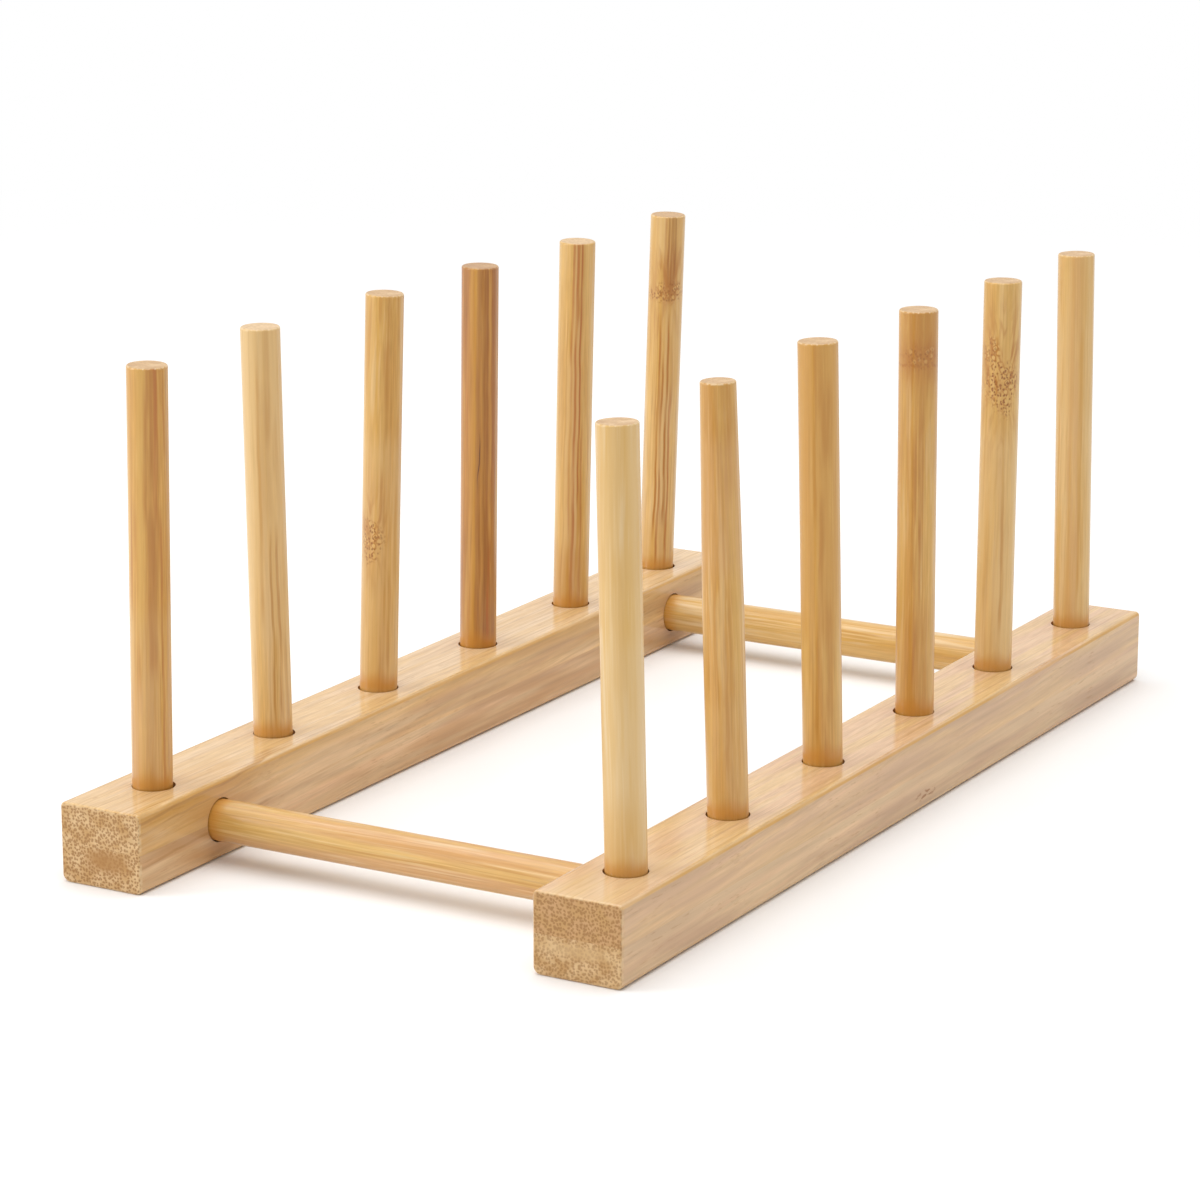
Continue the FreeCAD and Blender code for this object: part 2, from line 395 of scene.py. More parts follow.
def node_specks(tree, given, rise, from_heart, wobble):
    """A cluster of fine specks, and of pale spots with rims, round the heart of a culm's node."""
    upward = calc(tree, "DIVIDE", rise, given["Tall"])
    sideways = calc(tree, "DIVIDE", from_heart, given["Wide"])
    squares = calc(tree, "ADD", times(tree, upward, upward), times(tree, sideways, sideways))
    patchy = calc(tree, "MULTIPLY_ADD", wobble, 1.1, calc(tree, "SQRT", squares))
    cluster = fade(tree, patchy, 1.20, 0.65)
    flat = node(tree, "ShaderNodeCombineXYZ", {"X": from_heart, "Y": rise}).outputs["Vector"]
    crumple = drift(tree, flat, (0.8, 0.8, 0.0), detail=1.0)
    sheet = vector(tree, "MULTIPLY_ADD", crumple, (0.9, 0.9, 0.0), flat)
    small = vector(tree, "MULTIPLY", sheet, (1.25, 1.0, 0.0))
    speck_distance, speck_tone = cells(tree, small, "2D", 1.0)
    speck_pick = fade(tree, speck_tone, 0.20, 0.45)
    specks = times(tree, fade(tree, speck_distance, 0.46, 0.14), speck_pick, cluster, given["Specks"])
    large = vector(tree, "MULTIPLY", sheet, (0.65, 0.55, 0.0))
    spot_distance, spot_tone = cells(tree, large, "2D", 1.0)
    spotted = times(tree, fade(tree, spot_tone, 0.35, 0.55), cluster, given["Spots"])
    spots = times(tree, fade(tree, spot_distance, 0.42, 0.18), spotted)
    outside = fade(tree, spot_distance, 0.20, 0.40)
    rims = times(tree, fade(tree, spot_distance, 0.75, 0.42), outside, spotted)
    return specks, spots, rims


def node_flame(tree, given, level, from_heart):
    """Brown tongues that fan out above and below a culm's node."""
    above = calc(tree, "ABSOLUTE", level)
    vee = calc(tree, "MULTIPLY_ADD", calc(tree, "ABSOLUTE", from_heart), -3.0, above)
    fan = {"X": vee, "Y": from_heart, "Z": given["Height"]}
    fanned = node(tree, "ShaderNodeCombineXYZ", fan).outputs["Vector"]
    tongues = patches(tree, fanned, (0.16, 0.45, 1.0), 0.44, 0.64)
    upper = calc(tree, "MULTIPLY_ADD", fade(tree, level, -1.0, 1.0), 0.6, 0.4)
    sideways = calc(tree, "DIVIDE", from_heart, given["Wide"])
    near = fade(tree, calc(tree, "ABSOLUTE", sideways), 1.7, 0.6)
    low = fade(tree, calc(tree, "DIVIDE", above, given["Reach"]), 1.0, 0.1)
    return times(tree, tongues, upper, near, low, given["Flame"])


def node_mark_group():
    """A culm's node on a dowel: a thin ring, fine brown specks, pale spots with brown rims, and flames."""
    tree, given, result = new_group(
        "node mark",
        {
            "Colour": TAN,
            "Place": (0.0, 0.0, 0.0),
            "Height": 0.0,
            "Heart": (1.0, 0.0, 0.0),
            "Tall": 5.0,
            "Wide": 4.0,
            "Ring": 0.5,
            "Specks": 0.8,
            "Spots": 0.5,
            "Flame": 0.5,
            "Reach": 18.0,
            "Mark": CHESTNUT,
        },
        {"Colour": 4, "Pits": 1},
    )
    place = given["Place"]
    rise = calc(tree, "SUBTRACT", height_of(tree, place), given["Height"])
    wobble = calc(tree, "SUBTRACT", cloud(tree, place, (0.45, 0.45, 0.05)), 0.5)
    level = calc(tree, "MULTIPLY_ADD", wobble, 2.4, rise)
    from_heart = way_round(tree, place, given["Heart"])
    broken = patches(tree, place, (1.3, 1.3, 0.4), 0.36, 0.58, detail=1.0)
    ring = times(tree, fade(tree, calc(tree, "ABSOLUTE", level), 0.60, 0.10), broken, given["Ring"])
    specks, spots, rims = node_specks(tree, given, rise, from_heart, wobble)
    flame = node_flame(tree, given, level, from_heart)
    shaded = blend(tree, flame, given["Colour"], given["Mark"])
    rimmed = blend(tree, times(tree, rims, 0.9), shaded, given["Mark"])
    spotty = blend(tree, spots, rimmed, STRAW)
    ringed = blend(tree, ring, spotty, given["Mark"])
    feed(tree, result["Colour"], blend(tree, specks, ringed, RUSSET))
    feed(tree, result["Pits"], calc(tree, "MAXIMUM", specks, times(tree, ring, 0.5)))
    return tree


def socket_glue_and_shade_group():
    """A warm darkening on a dowel where it comes out of its socket: a stain of glue, and painted shade
    between the dowel and the rail.
    """
    tree, given, result = new_group(
        "socket glue and painted shade",
        {"Colour": TAN, "Place": (0.0, 0.0, 0.0), "Mouth": 0.0, "Reach": 4.5, "Strength": 0.5},
        {"Colour": 4},
    )
    rise = calc(tree, "SUBTRACT", height_of(tree, given["Place"]), given["Mouth"])
    off = calc(tree, "ABSOLUTE", rise)
    uneven = cloud(tree, given["Place"], (0.5, 0.5, 0.12))
    reach = times(tree, given["Reach"], calc(tree, "ADD", uneven, 0.5))
    # Painted shade and a stain of glue: warmer and darker close to the socket mouth, on both sides of it
    stain = times(tree, fade(tree, calc(tree, "DIVIDE", off, reach), 1.0, 0.0), given["Strength"])
    feed(tree, result["Colour"], blend(tree, stain, given["Colour"], GLUE_AND_SHADE))
    return tree


def ply_tone_group():
    """A ply's own tones: its sides, a band along them and fine lines on its upper face; and a painted
    reflection along its upper edge.
    """
    tree, given, result = new_group(
        "ply tones",
        {
            "Colour": RAIL_PALE,
            "Place": (0.0, 0.0, 0.0),
            "Height": 0.0,
            "Facing": (0.0, 0.0, 1.0),
            "Side Tone": RAIL_TAN,
            "Side": 0.4,
            "Band Height": 5.0,
            "Band Reach": 4.0,
            "Band Tone": RAIL_PALE,
            "Band": 0.5,
            "Grain": 0.80,
            "Dashes": 0.5,
            "Lines": 0.4,
            "Edge Reflection": 0.4,
            "Scar Place": (0.0, 0.0, 0.0),
            "Scar": 0.0,
        },
        {"Colour": 4},
    )
    place = given["Place"]
    upright = calc(tree, "ABSOLUTE", height_of(tree, given["Facing"]))
    side = fade(tree, upright, 0.40, 0.10)
    blotch = patches(tree, place, (0.22, 0.22, 0.020), 0.34, 0.66)
    side_share = times(tree, calc(tree, "MULTIPLY_ADD", blotch, 1.3, 0.35), side, given["Side"])
    sided = blend(tree, side_share, given["Colour"], given["Side Tone"])
    off_band = calc(tree, "ABSOLUTE", calc(tree, "SUBTRACT", given["Height"], given["Band Height"]))
    in_band = fade(tree, calc(tree, "DIVIDE", off_band, given["Band Reach"]), 1.0, 0.2)
    banded = blend(tree, times(tree, in_band, side, given["Band"]), sided, given["Band Tone"])
    layers = calc(tree, "SUBTRACT", 0.5, cloud(tree, place, (0.34, 0.34, 0.010), detail=3.0, roughness=0.6))
    layered = brighten(tree, banded, calc(tree, "ADD", 1.0, times(tree, layers, side, given["Grain"])))
    open_grain = patches(tree, place, (1.2, 1.2, 0.16), 0.55, 0.70, detail=3.0, roughness=0.65)
    open_patch = patches(tree, place, (0.08, 0.08, 0.022), 0.42, 0.60, detail=1.0)
    dashed = blend(tree, times(tree, open_grain, open_patch, side, given["Dashes"]), layered, RAIL_BROWN)
    fine = patches(tree, place, (1.0, 1.0, 0.004), 0.50, 0.64, roughness=0.6)
    lines = times(tree, fine, fade(tree, upright, 0.80, 0.97), given["Lines"])
    lined = blend(tree, lines, dashed, RAIL_BROWN)
    # Painted reflection: an uneven tan line along the rounded upper edge of a ply
    uneven = calc(tree, "MULTIPLY_ADD", patches(tree, place, (0.3, 0.3, 0.03), 0.30, 0.60), 0.7, 0.3)
    rounded = times(tree, fade(tree, upright, 0.12, 0.35), fade(tree, upright, 0.90, 0.60), given["Edge Reflection"])
    reflection_edged = blend(tree, times(tree, rounded, uneven), lined, TAN)
    offset = vector(tree, "SUBTRACT", place, given["Scar Place"])
    dashes = patches(tree, place, (1.1, 1.1, 0.35), 0.50, 0.60)
    away = measure(tree, "LENGTH", vector(tree, "MULTIPLY", offset, (0.2, 0.7, 0.16)))
    scar = times(tree, fade(tree, away, 1.2, 0.5), dashes, side, given["Scar"])
    feed(tree, result["Colour"], blend(tree, scar, reflection_edged, RUSSET))
    return tree


def lacquer_group():
    """A satin lacquer, a little uneven, that the sawn ends soak up: its roughness and its relief."""
    tree, given, result = new_group(
        "satin lacquer",
        {"Place": (0.0, 0.0, 0.0), "Cut": 0.0, "Side Relief": 0.5, "End Relief": 0.0, "Gloss": 0.22},
        {"Roughness": 1, "Relief": 1},
    )
    haze = calc(tree, "SUBTRACT", cloud(tree, given["Place"], (0.06, 0.06, 0.03), detail=3.0), 0.5)
    patchy = calc(tree, "MULTIPLY_ADD", haze, 0.16, given["Gloss"])
    feed(tree, result["Roughness"], calc(tree, "MULTIPLY_ADD", given["Cut"], 0.30, patchy))
    dips = calc(tree, "MULTIPLY", given["End Relief"], -4.0)
    side = calc(tree, "MULTIPLY", given["Side Relief"], calc(tree, "SUBTRACT", 1.0, given["Cut"]))
    feed(tree, result["Relief"], calc(tree, "MULTIPLY_ADD", dips, given["Cut"], side))
    return tree


fibres = fibre_group()
side_finish = side_group()
cut_finish = cut_group()
cut_ends = cut_mask_group()
long_streak = long_streak_group()
node_mark = node_mark_group()
socket_glue_and_shade = socket_glue_and_shade_group()
ply_tones = ply_tone_group()
lacquer = lacquer_group()


def grain_line(name):
    """The middle of a piece's first end and the direction of its grain, from the two ends of its mesh."""
    low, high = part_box(name)
    size = high - low
    long_way = max(range(3), key=lambda axis: size[axis])
    points = [vertex.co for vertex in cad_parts[name].data.vertices]
    ends = []
    for level in (low[long_way], high[long_way]):
        near = [point for point in points if abs(point[long_way] - level) < end_slice]
        lowest = Vector([min(point[axis] for point in near) for axis in range(3)])
        highest = Vector([max(point[axis] for point in near) for axis in range(3)])
        ends.append((lowest + highest) / 2)
    return ends[0], (ends[1] - ends[0]).normalized()


def lay(tree, where, start, direction):
    """A place in millimetres from a start, with its Z along a direction."""
    inputs = {
        "Vector": where,
        "Location": start,
        "Rotation": Vector((0.0, 0.0, 1.0)).rotation_difference(direction).to_euler(),
        "Scale": [1 / metre] * 3,
    }
    return node(tree, "ShaderNodeMapping", inputs, vector_type="TEXTURE").outputs["Vector"]


def empty_tree(owner):
    """The node tree of a material or of a world, cleared."""
    owner.use_nodes = True
    owner.node_tree.nodes.clear()
    return owner.node_tree


def strip_side(tree, look, grown, grain_place):
    """The side of a piece's strip, planed or turned along the grain: its colour and its relief."""
    inputs = {socket.name: socket for socket in grown if socket.name != "Bundle Distance"}
    inputs["Place"] = grain_place
    # Pale is the tone of the painted sheen lines along the grain
    for label in ("Ground", "Blush", "Pale", "Streak", "Streaks", "Contrast", "Flecks"):
        inputs[label] = look[label.lower()]
    side = use_group(tree, side_finish, inputs)
    return side["Colour"], side["Relief"]


def sawn_end(tree, look, grown, place):
    """The colour of a piece's sawn ends."""
    inputs = {
        "Place": place,
        "Bundle Distance": grown["Bundle Distance"],
        "Bundle Tone": grown["Bundle Tone"],
        "Pale": look["cut_pale"],
        "Brown": look["cut_brown"],
        "Dots": look["dots"],
        "Patch Place": look["patch_place"],
        "Patch Size": look["patch_size"],
        "Patch Tone": look["patch_tone"],
        "Patch": look["patch"],
    }
    return use_group(tree, cut_finish, inputs)["Colour"]


def own_marks(tree, look, where, place, grain_place, colour, relief):
    """A piece's side with the marks of its own: ply tones with a painted reflection along the upper edge,
    long streaks, culm nodes, and a stain of glue with painted shade at each socket.
    """
    if look["ply"]:
        above = times(tree, height_of(tree, where["Object"]), metre)
        found = {"Colour": colour, "Place": place, "Height": above, "Facing": where["Normal"]}
        colour = use_group(tree, ply_tones, {**look["ply"], **found})["Colour"]
    for one_streak in look["long_streaks"]:
        found = {"Colour": colour, "Place": grain_place}
        colour = use_group(tree, long_streak, {**one_streak, **found})["Colour"]
    for mark in look["marks"]:
        marked = use_group(tree, node_mark, {**mark, "Colour": colour, "Place": place})
        colour = marked["Colour"]
        relief = calc(tree, "SUBTRACT", relief, marked["Pits"])
    # At each socket mouth: a stain of glue, and painted shade where the dowel meets the rail
    for mouth in look["mouths"]:
        glue_and_shade_inputs = {"Colour": colour, "Place": place, "Mouth": mouth, "Strength": look["stain"]}
        colour = use_group(tree, socket_glue_and_shade, glue_and_shade_inputs)["Colour"]
    return colour, relief


def bamboo(name, look, seed):
    """The bamboo of one piece, laid along the piece's own grain, under its lacquer."""
    start, line = grain_line(name)
    material = bpy.data.materials.new(f"{name}_bamboo")
    tree = empty_tree(material)
    where = tree.nodes.new("ShaderNodeTexCoord").outputs
    place = lay(tree, where["Object"], start, line)
    grain_place = lay(tree, where["Object"], start, (line + Vector(look["stray"])).normalized())
    grown_inputs = {
        "Place": grain_place,
        "Seed": seed,
        "Spacing": look["spacing"],
        "Wander": look["wander"],
    }
    grown = use_group(tree, fibres, grown_inputs)
    ends = use_group(tree, cut_ends, {"Place": place, "Normal": where["Normal"], "Grain": line})
    plain, grain_relief = strip_side(tree, look, grown, grain_place)
    marked, relief = own_marks(tree, look, where, place, grain_place, plain, grain_relief)
    sawn = blend(tree, ends["Mask"], marked, sawn_end(tree, look, grown, place))
    # Pale rounded end edges: wear on the dowels, and a painted highlight on the plies
    rubbed = blend(tree, times(tree, ends["Worn Rim And Highlight"], look["rub"]), sawn, IVORY)
    finish_inputs = {
        "Place": place,
        "Cut": ends["Mask"],
        "Side Relief": relief,
        "End Relief": grown["Bundles"],
        "Gloss": look["gloss"],
    }
    finish = use_group(tree, lacquer, finish_inputs)
    bump = node(tree, "ShaderNodeBump", {"Height": finish["Relief"], "Distance": look["relief"]})
    shader_inputs = {
        "Base Color": rubbed,
        "Roughness": finish["Roughness"],
        "IOR": look["ior"],
        "Coat Weight": look["coat"],
        "Coat Roughness": coat_roughness,
        "Normal": bump.outputs["Normal"],
    }
    surface = node(tree, "ShaderNodeBsdfPrincipled", shader_inputs)
    node(tree, "ShaderNodeOutputMaterial", {"Surface": surface.outputs[0]})
    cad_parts[name].material_slots[0].material = material


def heart(bearing):
    """The direction of a bearing round a post, in degrees from +X towards +Y."""
    angle = math.radians(bearing)
    return (math.cos(angle), math.sin(angle), 0.0)


def streak(bearing, width, low, high, tone, strength, wander=0.5):
    """A long streak: its bearing, half its width, its two ends along the dowel and its tone."""
    return {
        "Heart": heart(bearing),
        "Width": width,
        "Low": low,
        "High": high,
        "Tone": tone,
        "Strength": strength,
        "Wander": wander,
    }


def zone(low, high, tone, strength):
    """A stretch of another tone, all round a post."""
    return streak(zone_bearing, zone_width, low, high, tone, strength)


def culm_node(height, bearing, tall, wide, ring, specks, spots, flame, reach=18.0):
    """A node mark: its height up the dowel, the bearing of its heart and half the size of its cluster."""
    return {
        "Height": height,
        "Heart": heart(bearing),
        "Tall": tall,
        "Wide": wide,
        "Ring": ring,
        "Specks": specks,
        "Spots": spots,
        "Flame": flame,
        "Reach": reach,
    }


# What every dowel and every ply has, unless its own look says otherwise
DOWEL = {
    # pale: the tone of the painted sheen lines along the grain
    "pale": CREAM,
    "contrast": 0.26,
    "flecks": 0.0,
    "marks": (),
    "ply": None,
    "mouths": (post_socket_mouth,),
    # How strong the stain of glue and the painted shade are at each socket mouth
    "stain": 0.70,
    "spacing": 1.05,  # millimetres from one bundle of fibres to the next
    "wander": 2.2,
    "stray": (0.010, -0.006, 0.0),  # of the grain's direction from the piece's own
    "cut_pale": CUT_PALE,
    "cut_brown": CUT_TAN,
    "dots": 0.25,
    "patch_place": (0.0, 0.0, 0.0),
    "patch_size": (3.0, 2.0, patch_depth),
    "patch_tone": CUT_BROWN,
    "patch": 0.0,
    "rub": 0.65,
    "ior": 1.45,
    "gloss": 0.34,
    "relief": 0.000008,  # metres
    "coat": 0.35,
}
PLY = {
    **DOWEL,
    # pale: the tone of the painted sheen lines along the grain
    "pale": RAIL_PALE,
    "contrast": 0.32,
    "mouths": (),
    "spacing": 0.82,
    "wander": 3.0,
    "stray": (0.012, 0.0, 0.05),
    "dots": 0.65,
    # On a ply, the pale end edges are a painted highlight
    "rub": 0.35,
    "ior": 1.33,
    "gloss": 0.17,
    "relief": 0.000004,
    "coat": 0.05,
}


def strip_look(usual, ground, blush, streak_tone, streaks, long_streaks, changes):
    """How a piece looks: the tones of its strip, the long streaks of its own and its other changes."""
    strip = {"ground": ground, "blush": blush, "streak": streak_tone, "streaks": streaks}
    return {**usual, **strip, "long_streaks": long_streaks, **changes}


def dowel_look(ground, blush, streak_tone, streaks, *long_streaks, **changes):
    """How a post or a rod looks."""
    return strip_look(DOWEL, ground, blush, streak_tone, streaks, long_streaks, changes)


def ply_look(ground, blush, streak_tone, streaks, *long_streaks, **changes):
    """How a rail's ply looks."""
    return strip_look(PLY, ground, blush, streak_tone, streaks, long_streaks, changes)


def ply_sides(tone, strength, band, edge=0.4, lines=0.4, scar=0.0):
    """The tone of a ply's sides, a band along them, the painted reflection along its upper edge, its upper
    face's lines and its scar.
    """
    return {
        "Side Tone": tone,
        "Side": strength,
        # edge sets how strong the painted reflection along the upper edge is
        **band,
        "Edge Reflection": edge,
        "Lines": lines,
        "Scar Place": scar_place,
        "Scar": scar,
    }


def side_band(height, reach, tone, strength):
    """A band along a ply's sides: its height on the rail, half its width and its tone."""
    return {"Band Height": height, "Band Reach": reach, "Band Tone": tone, "Band": strength}


# The look of every piece. A piece's number in this list picks its share of the grain.
piece_looks = {
    "left_post_1": dowel_look(
        TAN, TAN, CHESTNUT, 0.75,
        zone(4.0, 62.0, CREAM, 0.35),
        streak(-32.0, 0.7, 76.0, 126.0, RUST, 0.70),
        streak(-71.0, 0.7, 76.0, 116.0, CHESTNUT, 0.65),
        streak(-48.0, 1.4, 38.0, 86.0, CHESTNUT, 0.65),
        streak(-17.0, 0.4, 8.0, 86.0, RUST, 0.60),
        streak(-102.0, 1.6, 10.0, 45.0, ROSE, 0.60),
        streak(-54.0, 1.2, 84.0, 130.0, CHESTNUT, 0.45),
        streak(-86.0, 1.2, 50.0, 130.0, HONEY, 0.70),
        pale=STRAW,
    ),
    "left_post_2": dowel_look(
        CREAM, STRAW, AMBER, 0.65,
        zone(34.0, 150.0, CREAM, 0.70),
        streak(-55.0, 1.6, 66.0, 106.0, AMBER, 0.20),
        streak(-25.0, 0.5, 14.0, 70.0, CHESTNUT, 0.65),
        streak(-48.0, 0.4, 14.0, 70.0, AMBER, 0.70),
        streak(-78.0, 0.5, 40.0, 112.0, AMBER, 0.40),
        streak(-44.0, 1.0, 84.0, 126.0, AMBER, 0.30),
        pale=STRAW, cut_pale=CUT_CREAM, cut_brown=CUT_PALE,
    ),
    "left_post_3": dowel_look(
        HONEY, TAN, AMBER, 0.75,
        zone(4.0, 84.0, CREAM, 0.45),
        streak(-50.0, 0.9, 85.0, 126.0, AMBER, 0.50),
        streak(-64.0, 0.5, 54.0, 76.0, AMBER, 0.70),
        streak(-30.0, 0.6, 14.0, 48.0, AMBER, 0.60),
        marks=[
            culm_node(53.0, -90.0, tall=5.5, wide=3.8, ring=0.0, specks=0.80, spots=0.80, flame=0.60),
        ],
    ),
    "left_post_4": dowel_look(
        AMBER, CHESTNUT, RUSSET, 0.80,
        streak(-88.0, 2.0, -10.0, 140.0, TAN, 0.75),
        streak(-66.0, 1.0, -10.0, 140.0, RUSSET, 0.45),
        streak(-52.0, 0.5, 20.0, 110.0, TAN, 0.55),
        streak(-40.0, 1.2, -10.0, 140.0, RUSSET, 0.55),
        streak(-22.0, 0.6, 40.0, 124.0, TAN, 0.80),
        streak(-28.0, 0.5, 8.0, 44.0, RUST, 0.85),
        streak(-64.0, 0.20, 54.0, 75.0, UMBER, 0.95, wander=1.2),
        streak(-1.0, 1.2, -20.0, 150.0, RUSSET, 0.40),
        pale=HONEY, contrast=0.34, rub=0.25, cut_pale=CUT_TAN, cut_brown=CUT_BROWN,
    ),
    "left_post_5": dowel_look(
        HONEY, STRAW, AMBER, 0.55,
        streak(-64.0, 1.6, 4.0, 128.0, AMBER, 0.50),
        streak(-44.0, 0.9, 30.0, 124.0, AMBER, 0.40),
        streak(-97.0, 0.32, 10.0, 100.0, AMBER, 0.75),
        streak(-80.0, 0.40, 30.0, 128.0, RUST, 0.60),
        streak(-70.0, 0.40, 50.0, 130.0, CREAM, 0.50),
        streak(-62.0, 0.60, 4.0, 128.0, RUST, 0.70),
        streak(-54.0, 0.50, 4.0, 100.0, CREAM, 0.65),
        streak(-46.0, 0.34, 40.0, 128.0, RUST, 0.80),
        streak(-34.0, 0.40, 4.0, 70.0, RUST, 0.60),
        streak(-88.0, 1.0, 4.0, 90.0, CREAM, 0.50),
        zone(-20.0, 36.0, AMBER, 0.45),
        rub=0.15, cut_brown=CUT_PALE,
    ),
    "left_post_6": dowel_look(
        STRAW, CREAM, CHESTNUT, 0.80,
        zone(62.0, 150.0, HONEY, 0.70),
        zone(-20.0, 32.0, HONEY, 0.60),
        streak(-80.0, 0.40, 20.0, 90.0, CHESTNUT, 0.85),
        streak(-67.0, 0.40, 10.0, 80.0, CHESTNUT, 0.85),
        streak(-58.0, 0.50, 30.0, 90.0, CREAM, 0.50),
        streak(-49.0, 0.45, 24.0, 92.0, CHESTNUT, 0.90),
        streak(-34.0, 0.40, 8.0, 70.0, RUST, 0.75),
        streak(-90.0, 1.6, 100.0, 150.0, CREAM, 0.70),
        streak(-48.0, 2.4, 89.0, 113.0, CHESTNUT, 0.85),
        streak(-46.0, 0.6, 90.0, 130.0, RUSSET, 0.45),
        streak(-62.0, 0.4, 91.0, 130.0, RUSSET, 0.50),
        streak(-76.0, 0.4, 92.0, 124.0, CHESTNUT, 0.50),
        streak(-32.0, 0.4, 90.0, 130.0, RUSSET, 0.50),
        wander=4.0, cut_pale=CUT_TAN,
        marks=[
            culm_node(
                95.5, -45.0, tall=3.4, wide=4.2, ring=0.35,
                specks=0.70, spots=0.90, flame=0.70, reach=22.0,
            ),
            culm_node(
                94.5, -95.0, tall=1.8, wide=3.4, ring=0.20,
                specks=0.80, spots=0.30, flame=0.40, reach=10.0,
            ),
        ],
    ),
    "right_post_1": dowel_look(
        CREAM, STRAW, HONEY, 0.30,
        zone(76.0, 150.0, HONEY, 0.35),
        zone(22.0, 72.0, IVORY, 0.35),
        streak(-72.0, 2.0, 52.0, 92.0, HONEY, 0.45),
        streak(-20.0, 1.6, -10.0, 140.0, CREAM, 0.50),
        zone(-20.0, 36.0, HONEY, 0.45),
        contrast=0.08, pale=IVORY, cut_pale=CUT_CREAM,
    ),
    "right_post_2": dowel_look(
        HONEY, TAN, AMBER, 0.60,
        zone(4.0, 46.0, CREAM, 0.30),
        streak(-38.0, 1.4, 86.0, 132.0, AMBER, 0.65),
        streak(-62.0, 7.0, 98.0, 150.0, AMBER, 0.40),
        zone(68.0, 108.0, ROSE, 0.45),
        streak(-62.0, 0.6, 20.0, 62.0, AMBER, 0.55),
    ),
    "right_post_3": dowel_look(
        HONEY, TAN, AMBER, 0.65,
        zone(40.0, 150.0, TAN, 0.80),
        streak(-45.0, 2.2, 84.0, 112.0, AMBER, 0.65),
        streak(-66.0, 0.7, 40.0, 74.0, AMBER, 0.65),
        streak(-40.0, 1.2, 20.0, 58.0, AMBER, 0.55),
        streak(-84.0, 0.6, 70.0, 124.0, AMBER, 0.55),
        streak(-62.0, 0.8, 62.0, 84.0, AMBER, 0.65),
        streak(-80.0, 0.6, 14.0, 50.0, AMBER, 0.60),
        streak(-64.0, 1.4, 98.0, 122.0, AMBER, 0.35),
        pale=STRAW,
    ),
    "right_post_4": dowel_look(
        TAN, HONEY, AMBER, 0.75,
        streak(-60.0, 9.0, 94.0, 150.0, AMBER, 0.75),
        streak(-60.0, 9.0, 98.0, 114.0, CHESTNUT, 0.60),
        streak(-55.0, 0.7, 52.0, 96.0, CHESTNUT, 0.65),
        streak(-80.0, 0.6, 44.0, 90.0, CHESTNUT, 0.45),
        zone(70.0, 104.0, AMBER, 0.25),
        streak(-66.0, 6.0, -20.0, 46.0, AMBER, 0.40),
        streak(-72.0, 0.5, 18.0, 40.0, CHESTNUT, 0.60),
        marks=[
            culm_node(
                106.2, -52.0, tall=2.6, wide=5.0, ring=0.40,
                specks=0.55, spots=0.40, flame=0.60, reach=9.0,
            ),
            culm_node(
                103.6, -50.0, tall=1.2, wide=5.0, ring=0.90,
                specks=0.20, spots=0.0, flame=0.80, reach=7.0,
            ),
        ],
    ),
    "right_post_5": dowel_look(
        STRAW, HONEY, AMBER, 0.60,
        zone(6.0, 82.0, CREAM, 0.62),
        zone(74.0, 112.0, STRAW, 0.40),
        streak(-50.0, 0.6, 20.0, 66.0, AMBER, 0.60),
        rub=0.35,
        marks=[
            culm_node(
                90.0, -60.0, tall=7.5, wide=4.8, ring=0.0,
                specks=1.00, spots=0.80, flame=0.90, reach=30.0,
            ),
            culm_node(
                99.0, -100.0, tall=4.0, wide=2.6, ring=0.0,
                specks=0.55, spots=1.00, flame=0.40, reach=14.0,
            ),
        ],
    ),
    "right_post_6": dowel_look(
        STRAW, CREAM, TAN, 0.75,
        zone(70.0, 150.0, HONEY, 0.35),
        streak(-72.0, 2.2, -10.0, 140.0, ROSE, 0.50),
        streak(-48.0, 0.6, 20.0, 100.0, TAN, 0.55),
        contrast=0.22,
    ),
    "front_cross_rod": dowel_look(
        ROSE, STRAW, AMBER, 0.60,
        pale=IVORY, mouths=rod_socket_mouths, stray=(0.0, 0.006, -0.010),
    ),
    "rear_cross_rod": dowel_look(
        STRAW, HONEY, AMBER, 0.45,
        pale=IVORY, mouths=rod_socket_mouths, stray=(0.0, 0.006, -0.010),
    ),
    "left_rail_upper_ply": ply_look(
        RAIL_GOLD, RAIL_PALE, RAIL_BROWN, 0.35,
        streak(0.0, 8.0, -20.0, 52.0, TAN, 0.40),
        streak(-14.0, 0.5, -10.0, 66.0, RAIL_BROWN, 0.70, wander=1.0),
        streak(-2.0, 0.4, -10.0, 50.0, RAIL_BROWN, 0.65, wander=1.2),
        ply=ply_sides(RAIL_TAN, 0.50, side_band(19.0, 4.0, HONEY, 0.35), edge=0.70, lines=0.36),
        cut_pale=CUT_CREAM, dots=0.80, flecks=0.25,
    ),
    "left_rail_lower_ply": ply_look(
        RAIL_PALE, RAIL_ROSE, RAIL_BROWN, 0.35,
        streak(-10.0, 0.5, -10.0, 60.0, RAIL_BROWN, 0.60, wander=0.8),
        ply=ply_sides(RAIL_TAN, 0.60, side_band(2.5, 4.0, RAIL_BROWN, 0.20)),
        patch_place=(1.5, -2.0, 0.0), patch_size=(7.0, 3.2, patch_depth), patch=0.80,
        cut_pale=CUT_CREAM, dots=0.85, flecks=0.25,
    ),
    "right_rail_upper_ply": ply_look(
        RAIL_GOLD, RAIL_ROSE, RAIL_BROWN, 0.30,
        streak(-90.0, 16.0, -20.0, 40.0, RAIL_PALE, 0.70),
        ply=ply_sides(RAIL_DUN, 0.50, side_band(14.0, 5.0, RAIL_ROSE, 0.30), edge=0.80, lines=0.32),
        cut_pale=RAIL_TAN, dots=0.75,
    ),
    "right_rail_lower_ply": ply_look(
        RAIL_PALE, RAIL_ROSE, RAIL_BROWN, 0.25,
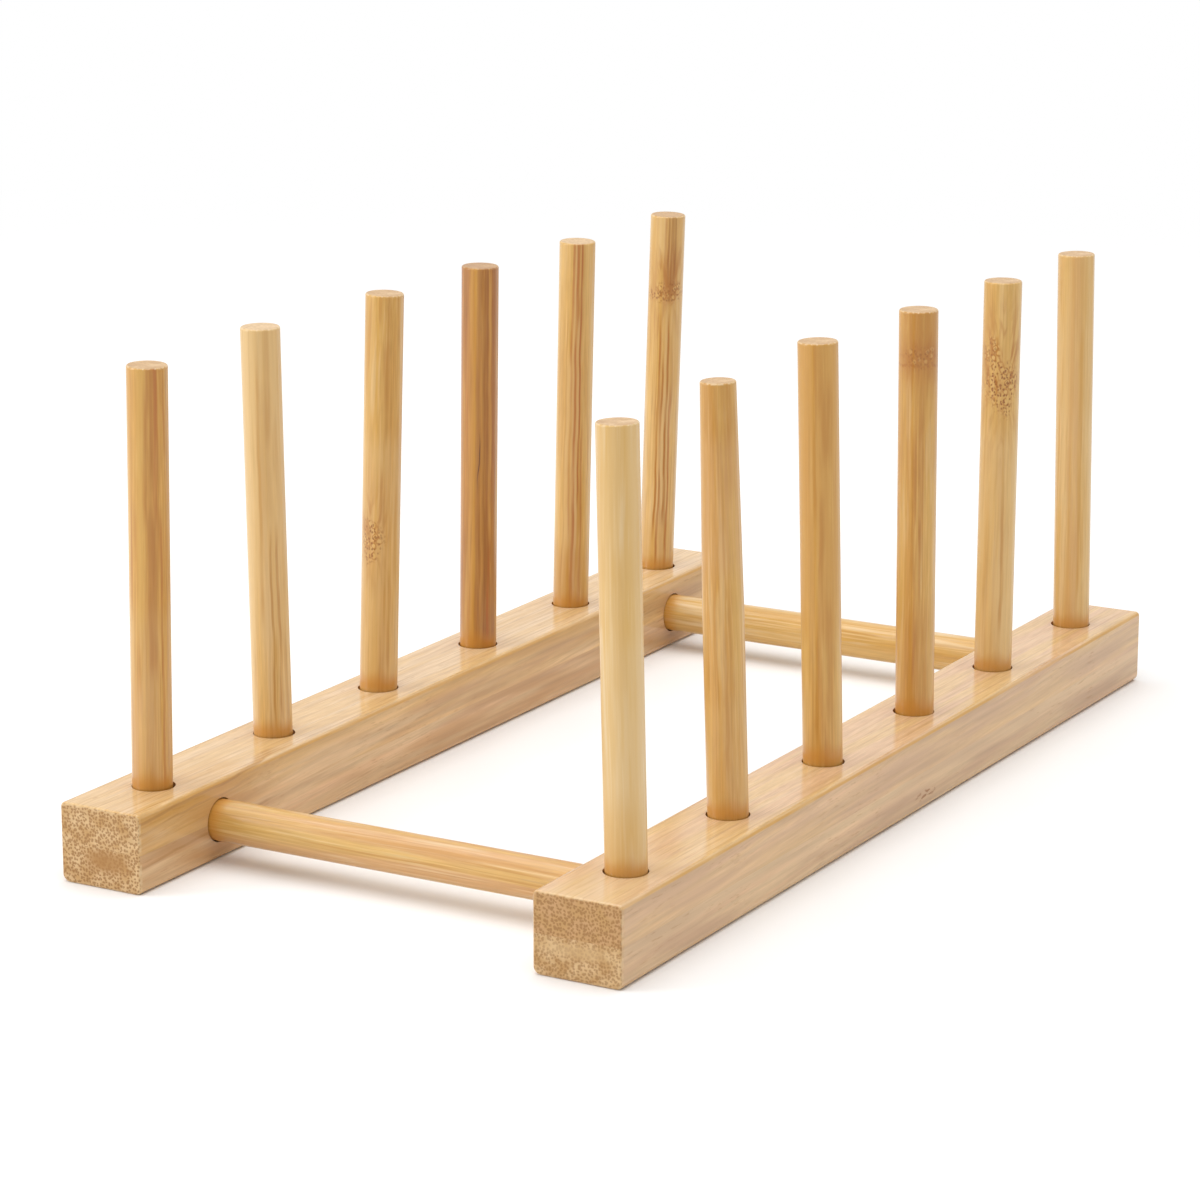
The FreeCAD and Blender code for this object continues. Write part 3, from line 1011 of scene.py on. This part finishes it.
        ply=ply_sides(RAIL_DUN, 0.55, side_band(8.5, 3.0, RAIL_PALE, 0.45), scar=0.8),
        patch_place=(0.0, -2.2, 0.0), patch_size=(11.0, 1.8, patch_depth), patch_tone=CUT_PALE, patch=0.55,
        cut_pale=CUT_CREAM,
    ),
}
for number, (name, look) in enumerate(piece_looks.items(), start=1):
    bamboo(name, look, float(number))


def rays(tree, *kinds):
    """1 for the rays of any of these kinds, and 0 for all others."""
    path = tree.nodes.new("ShaderNodeLightPath").outputs
    found = path[kinds[0]]
    for kind in kinds[1:]:
        found = calc(tree, "MAXIMUM", found, path[kind])
    return found


def white_floor():
    """A white floor that takes the rack's shadow and fades into the white room."""
    half = floor_size / 2
    mesh = bpy.data.meshes.new("floor")
    corners = [(-half, -half, 0.0), (half, -half, 0.0), (half, half, 0.0), (-half, half, 0.0)]
    mesh.from_pydata(corners, [], [(0, 1, 2, 3)])
    floor = bpy.data.objects.new("floor", mesh)
    bpy.context.scene.collection.objects.link(floor)
    material = bpy.data.materials.new("floor_white")
    tree = empty_tree(material)
    where = tree.nodes.new("ShaderNodeTexCoord").outputs["Object"]
    seen = rays(tree, "Is Camera Ray", "Is Glossy Ray")
    far = fade(tree, measure(tree, "LENGTH", where), *shadow_reach)
    matt = node(tree, "ShaderNodeBsdfDiffuse", {"Color": floor_colour})
    white = node(tree, "ShaderNodeEmission", {"Color": room_colour, "Strength": 1.0})
    shaders = {0: times(tree, far, seen), 1: matt.outputs[0], 2: white.outputs[0]}
    mixed = node(tree, "ShaderNodeMixShader", shaders)
    node(tree, "ShaderNodeOutputMaterial", {"Surface": mixed.outputs[0]})
    mesh.materials.append(material)


def white_room():
    """White all round for the camera and for reflections, and a little softer as light."""
    world = bpy.data.worlds.new("white_room")
    bpy.context.scene.world = world
    tree = empty_tree(world)
    seen = rays(tree, "Is Camera Ray", "Is Glossy Ray", "Is Transmission Ray")
    light = node(tree, "ShaderNodeBackground", {"Color": room_colour, "Strength": room_light})
    white = node(tree, "ShaderNodeBackground", {"Color": room_colour, "Strength": 1.0})
    mixed = node(tree, "ShaderNodeMixShader", {0: seen, 1: light.outputs[0], 2: white.outputs[0]})
    node(tree, "ShaderNodeOutputWorld", {"Surface": mixed.outputs[0]})


def turned_to_rack(name, data, place):
    """A lamp or a camera in its place, turned towards the rack."""
    holder = bpy.data.objects.new(name, data)
    holder.location = place
    holder.rotation_mode = "QUATERNION"
    holder.rotation_quaternion = (camera_aim - place).to_track_quat("-Z", "Y")
    bpy.context.scene.collection.objects.link(holder)
    return holder


def soft_lamp(name, place, size, power):
    """A wide soft lamp."""
    lamp = bpy.data.lights.new(name, "AREA")
    lamp.shape = "RECTANGLE"
    lamp.size, lamp.size_y = size
    lamp.energy = power
    turned_to_rack(name, lamp, place)


def view_camera():
    """The camera, where the photograph was taken from."""
    lens = bpy.data.cameras.new("view")
    lens.lens = camera_lens
    lens.sensor_width = camera_sensor
    bpy.context.scene.camera = turned_to_rack("view", lens, camera_place)


white_floor()
white_room()
soft_lamp("side_lamp", side_lamp_place, side_lamp_size, side_lamp_power)
soft_lamp("top_lamp", top_lamp_place, top_lamp_size, top_lamp_power)
view_camera()
bpy.context.scene.view_settings.view_transform = "Standard"
